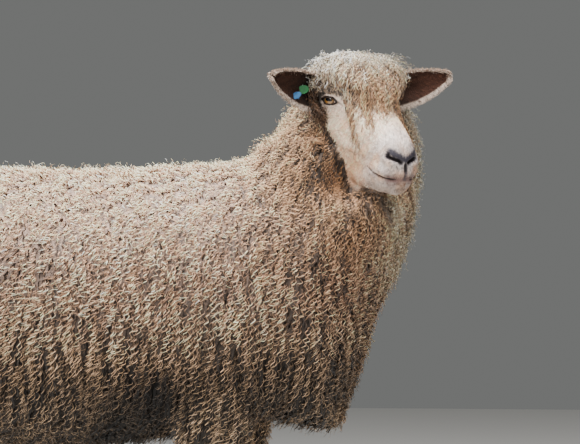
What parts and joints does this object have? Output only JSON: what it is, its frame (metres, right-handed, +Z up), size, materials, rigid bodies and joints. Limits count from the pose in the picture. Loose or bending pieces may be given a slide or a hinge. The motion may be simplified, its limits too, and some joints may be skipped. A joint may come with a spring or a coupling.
{
  "type": "standing longwool sheep model",
  "caption": "Life-size white-faced longwool ewe standing square with her head turned to her right, in a full fleece of crimped locks.",
  "frame": {"origin": "on the floor, under the middle of the whole animal's box", "axes": "+X the way the body faces, +Y the animal's left, +Z up"},
  "size_m": [1.2736, 0.4992, 0.9864],
  "materials": {
    "fleece": "matt crimped wool",
    "hair": "short flat hair",
    "ear_skin": "skin with fine hair",
    "eye": "wet gloss",
    "claw": "dark horn",
    "tag_green": "moulded, plain",
    "tag_blue": "moulded, plain"
  },
  "bodies": {
    "root": {"claw_fore_left_inner": "claw", "claw_fore_left_outer": "claw", "claw_fore_right_inner": "claw", "claw_fore_right_outer": "claw", "claw_hind_left_inner": "claw", "claw_hind_left_outer": "claw", "claw_hind_right_inner": "claw", "claw_hind_right_outer": "claw", "dewclaw_fore_left_inner": "claw", "dewclaw_fore_left_outer": "claw", "dewclaw_fore_right_inner": "claw", "dewclaw_fore_right_outer": "claw", "dewclaw_hind_left_inner": "claw", "dewclaw_hind_left_outer": "claw", "dewclaw_hind_right_inner": "claw", "dewclaw_hind_right_outer": "claw", "ear_left": "ear_skin", "ear_right": "ear_skin", "eye_left": "eye", "eye_right": "eye", "head": "hair", "leg_fore_left": "fleece", "leg_fore_right": "fleece", "leg_hind_left": "fleece", "leg_hind_right": "fleece", "neck": "fleece", "shank_fore_left": "hair", "shank_fore_right": "hair", "shank_hind_left": "hair", "shank_hind_right": "hair", "tag_blue": "tag_blue", "tag_green": "tag_green", "tail": "fleece", "trunk": "fleece"}
  },
  "joints": []
}
